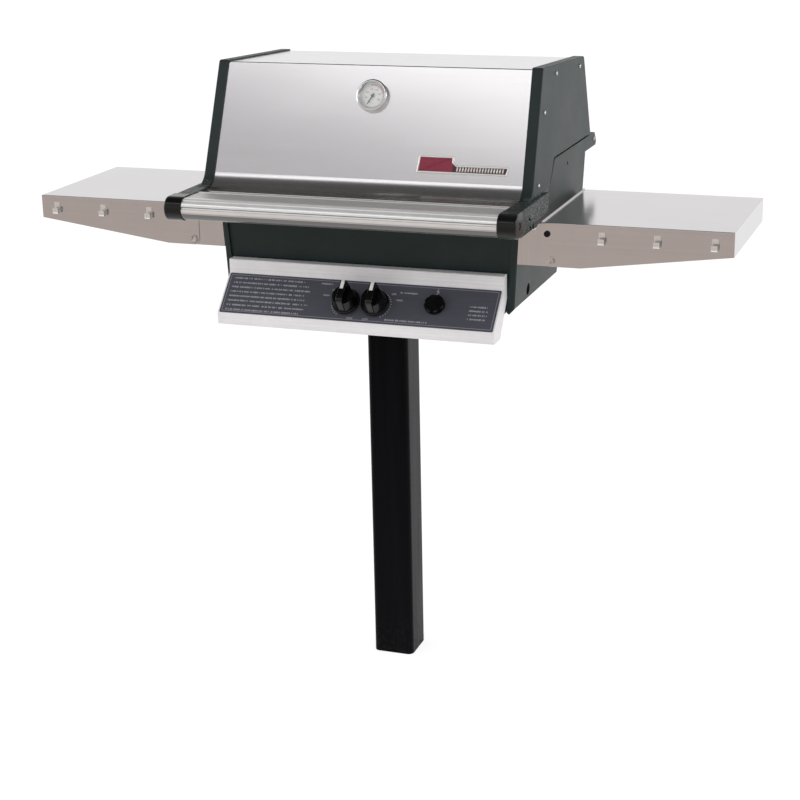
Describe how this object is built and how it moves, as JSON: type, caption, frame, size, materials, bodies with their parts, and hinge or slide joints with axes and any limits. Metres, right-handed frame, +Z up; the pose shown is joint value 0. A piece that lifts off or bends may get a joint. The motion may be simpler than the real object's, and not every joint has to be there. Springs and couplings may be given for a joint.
{
  "type": "post-mounted gas grill",
  "caption": "Gas grill head with a hinged hood, folding side shelves and a slanted control panel, on a square post that is set in the ground.",
  "frame": {"origin": "where the post's axis meets the ground", "axes": "+Z up the post, -Y towards the person at the controls, +X to that person's right"},
  "size_m": [1.42, 0.6464, 1.7491],
  "materials": {
    "post_paint": "black powder coat",
    "bracket_steel": "black paint",
    "zinc_steel": "zinc plated",
    "pipe_steel": "black pipe",
    "brass": "machined",
    "valve_metal": "die cast",
    "casting": "black heat-proof paint on a casting",
    "firebox_sheet": "black heat-proof paint",
    "stainless": "brushed",
    "grip_metal": "brushed",
    "black_plastic": "gloss",
    "label_paint": "printed slate grey",
    "nameplate_metal": "cast, red ground",
    "chrome": "polished",
    "dial_white": "white",
    "needle_black": "black",
    "window": "clear",
    "grid_steel": "stainless rod",
    "grate_steel": "bare rod",
    "burner_steel": "heat-tinted",
    "briquette": "fired ceramic",
    "electrode_ceramic": "glazed",
    "lead_sleeve": "silicone",
    "spring_wire": "wire"
  },
  "bodies": {
    "stand": {"post_tube": "post_paint", "post_head_plate": "bracket_steel", "support_crossbars": "bracket_steel", "mounting_bolts": "zinc_steel", "gas_riser_pipe": "pipe_steel", "gas_cock_body": "brass", "gas_feed_tube": "zinc_steel", "gas_manifold": "zinc_steel", "left_valve_body": "valve_metal", "right_valve_body": "valve_metal", "igniter_body": "black_plastic", "igniter_lead": "lead_sleeve", "igniter_electrode": "electrode_ceramic", "left_burner": "burner_steel", "right_burner": "burner_steel", "briquette_grate": "grate_steel", "ceramic_briquettes": "briquette", "left_cooking_grid": "grid_steel", "right_cooking_grid": "grid_steel", "warming_rack": "grid_steel", "firebox_left_side": "casting", "firebox_right_side": "casting", "firebox_front_panel": "firebox_sheet", "firebox_rear_panel": "firebox_sheet", "firebox_floor": "firebox_sheet", "control_panel": "stainless", "control_panel_label": "label_paint", "hood_hinge_pins": "zinc_steel", "left_shelf_bracket": "stainless", "right_shelf_bracket": "stainless", "shelf_pins": "zinc_steel"},
    "hood": {"hood_left_end": "casting", "hood_right_end": "casting", "hood_front_skin": "stainless", "hood_top_skin": "stainless", "handle_grip": "grip_metal", "handle_left_cap": "black_plastic", "handle_right_cap": "black_plastic", "hood_screws": "zinc_steel", "hood_nameplate": "nameplate_metal", "thermometer_case": "chrome", "thermometer_dial": "dial_white", "thermometer_glass": "window"},
    "needle": {"thermometer_needle": "needle_black"},
    "left_shelf": {"left_shelf": "stainless", "left_tool_hooks": "stainless"},
    "right_shelf": {"right_shelf": "stainless", "right_tool_hooks": "stainless"},
    "left_plug": {"left_valve_plug": "brass", "left_valve_spring": "spring_wire"},
    "right_plug": {"right_valve_plug": "brass", "right_valve_spring": "spring_wire"},
    "left_control": {"left_valve_spindle": "zinc_steel", "left_burner_knob": "black_plastic"},
    "right_control": {"right_valve_spindle": "zinc_steel", "right_burner_knob": "black_plastic"},
    "igniter_turn": {"igniter_knob": "black_plastic"},
    "gas_lever": {"gas_cock_lever": "zinc_steel"},
    "tray": {"grease_tray": "zinc_steel"}
  },
  "joints": [
    {"name": "hood_hinge", "type": "hinge", "parent": "stand", "child": "hood", "pos_m": [0, 0.319, 1.055], "axis": [-1, 0, 0], "range_deg": [0, 95]},
    {"name": "gauge_needle", "type": "hinge", "parent": "hood", "child": "needle", "pos_m": [0, -0.08406, 1.19], "axis": [0, 0.9292, -0.3696], "range_deg": [0, 270], "stiffness_Nm_per_rad": 0.0005},
    {"name": "left_shelf_fold", "type": "hinge", "parent": "stand", "child": "left_shelf", "pos_m": [-0.368, 0.0213, 0.902], "axis": [0, -1, 0], "range_deg": [0, 90]},
    {"name": "right_shelf_fold", "type": "hinge", "parent": "stand", "child": "right_shelf", "pos_m": [0.368, 0.0213, 0.902], "axis": [0, 1, 0], "range_deg": [0, 90]},
    {"name": "left_valve_turn", "type": "hinge", "parent": "stand", "child": "left_plug", "pos_m": [-0.0215, -0.19906, 0.80894], "axis": [0, -0.7071, 0.7071], "range_deg": [0, 210]},
    {"name": "left_knob_push", "type": "slide", "parent": "left_plug", "child": "left_control", "axis": [0, 0.7071, -0.7071], "range_m": [0, 0.003], "stiffness_N_per_m": 1500, "springref_m": -0.001, "deforming": ["left_valve_spring"]},
    {"name": "right_valve_turn", "type": "hinge", "parent": "stand", "child": "right_plug", "pos_m": [0.0385, -0.19906, 0.80894], "axis": [0, -0.7071, 0.7071], "range_deg": [0, 210]},
    {"name": "right_knob_push", "type": "slide", "parent": "right_plug", "child": "right_control", "axis": [0, 0.7071, -0.7071], "range_m": [0, 0.003], "stiffness_N_per_m": 1500, "springref_m": -0.001, "deforming": ["right_valve_spring"]},
    {"name": "igniter_twist", "type": "hinge", "parent": "stand", "child": "igniter_turn", "pos_m": [0.1565, -0.19411, 0.81389], "axis": [0, 0.7071, -0.7071], "range_deg": [0, 90], "stiffness_Nm_per_rad": 0.05, "springref_deg": -11.46},
    {"name": "gas_shut_off", "type": "hinge", "parent": "stand", "child": "gas_lever", "pos_m": [-0.02, -0.069, 0.737], "axis": [1, 0, 0], "range_deg": [0, 90]},
    {"name": "tray_slide", "type": "slide", "parent": "stand", "child": "tray", "axis": [0, 1, 0], "range_m": [0, 0.14]}
  ]
}
